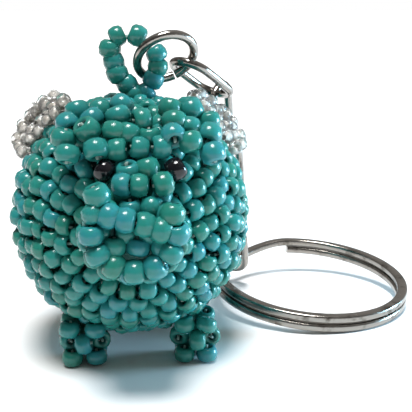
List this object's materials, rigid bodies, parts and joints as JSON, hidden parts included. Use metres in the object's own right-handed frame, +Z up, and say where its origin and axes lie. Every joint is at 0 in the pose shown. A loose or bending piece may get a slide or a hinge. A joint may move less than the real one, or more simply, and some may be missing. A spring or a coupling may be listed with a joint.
{
  "type": "beaded keychain figure",
  "caption": "Stuffed beaded pig figure with floppy ears, small wings and a bead hanging loop, joined by a jump ring and a short chain to a split key ring.",
  "frame": {"origin": "on the resting plane, at the middle of the whole object seen from above", "axes": "-Y is the way the pig looks, +Z is up, +X is toward the split ring"},
  "size_m": [0.0492, 0.043, 0.0355],
  "materials": {
    "turquoise_beads": "polished",
    "clear_beads": "polished, silver lined",
    "black_beads": "polished",
    "stuffing": "loose fibre",
    "thread": "clear nylon",
    "steel": "nickel plated"
  },
  "bodies": {
    "pig": {"body_round_01": "turquoise_beads", "body_round_02": "turquoise_beads", "body_round_03": "turquoise_beads", "body_round_04": "turquoise_beads", "body_round_05": "turquoise_beads", "body_round_06": "turquoise_beads", "body_round_07": "turquoise_beads", "body_round_08": "turquoise_beads", "body_round_09": "turquoise_beads", "body_round_10": "turquoise_beads", "body_round_11": "turquoise_beads", "body_round_12": "turquoise_beads", "body_round_13": "turquoise_beads", "body_round_14": "turquoise_beads", "body_round_15": "turquoise_beads", "body_round_16": "turquoise_beads", "body_round_17": "turquoise_beads", "body_round_18": "turquoise_beads", "body_round_19": "turquoise_beads", "body_round_20": "turquoise_beads", "stuffing_core": "stuffing", "snout_round_root": "turquoise_beads", "snout_round_middle": "turquoise_beads", "snout_rim": "turquoise_beads", "nostril_bar": "turquoise_beads", "snout_stuffing": "stuffing", "eye_bead_left": "black_beads", "eye_bead_right": "black_beads", "ear_left": "turquoise_beads", "ear_right": "turquoise_beads", "wing_left": "clear_beads", "wing_right": "clear_beads", "leg_front_left": "turquoise_beads", "leg_front_right": "turquoise_beads", "leg_hind_left": "turquoise_beads", "leg_hind_right": "turquoise_beads", "tail": "turquoise_beads"},
    "bead_loop": {"loop_bead_01": "turquoise_beads", "loop_bead_02": "turquoise_beads", "loop_bead_03": "turquoise_beads", "loop_bead_04": "turquoise_beads", "loop_bead_05": "turquoise_beads", "loop_bead_06": "turquoise_beads", "loop_bead_07": "turquoise_beads", "loop_bead_08": "turquoise_beads", "loop_bead_09": "turquoise_beads", "loop_bead_10": "turquoise_beads", "loop_bead_11": "turquoise_beads", "loop_thread": "thread"},
    "jump_ring": {"jump_ring": "steel"},
    "chain_link_1": {"chain_link_1": "steel"},
    "chain_link_2": {"chain_link_2": "steel"},
    "chain_link_3": {"chain_link_3": "steel"},
    "chain_link_4": {"chain_link_4": "steel"},
    "chain_link_5": {"chain_link_5": "steel"},
    "split_ring": {"split_ring": "steel"}
  },
  "joints": [
    {"name": "loop_swing", "type": "hinge", "parent": "pig", "child": "bead_loop", "pos_m": [-0.01013, -0.00166, 0.0281], "axis": [1, 0, 0], "range_deg": [0, 35]},
    {"name": "jump_ring_swing", "type": "hinge", "parent": "bead_loop", "child": "jump_ring", "pos_m": [-0.00967, -0.00146, 0.0308], "axis": [0, -1, 0], "range_deg": [0, 15]},
    {"name": "link_1_swing", "type": "hinge", "parent": "jump_ring", "child": "chain_link_1", "pos_m": [-0.00429, 0.00033, 0.03082], "axis": [0.6151, -0.3913, 0.6845], "range_deg": [0, 15]},
    {"name": "link_2_swing", "type": "hinge", "parent": "chain_link_1", "child": "chain_link_2", "pos_m": [-0.00031, 0.00418, 0.02761], "axis": [0.8446, -0.5129, -0.1534], "range_deg": [0, 15]},
    {"name": "link_3_swing", "type": "hinge", "parent": "chain_link_2", "child": "chain_link_3", "pos_m": [0.00046, 0.00729, 0.02139], "axis": [-0.5242, -0.7341, -0.4316], "range_deg": [0, 15]},
    {"name": "link_4_swing", "type": "hinge", "parent": "chain_link_3", "child": "chain_link_4", "pos_m": [0.00122, 0.01041, 0.01516], "axis": [0.8446, -0.5129, -0.1534], "range_deg": [0, 15]},
    {"name": "link_5_swing", "type": "hinge", "parent": "chain_link_4", "child": "chain_link_5", "pos_m": [0.00198, 0.01352, 0.00894], "axis": [-0.5242, -0.7341, -0.4316], "range_deg": [0, 15]},
    {"name": "split_ring_swing", "type": "hinge", "parent": "chain_link_5", "child": "split_ring", "pos_m": [0.00259, 0.01602, 0.00394], "axis": [-0.5974, -0.8002, -0.0523], "range_deg": [0, 40]}
  ]
}
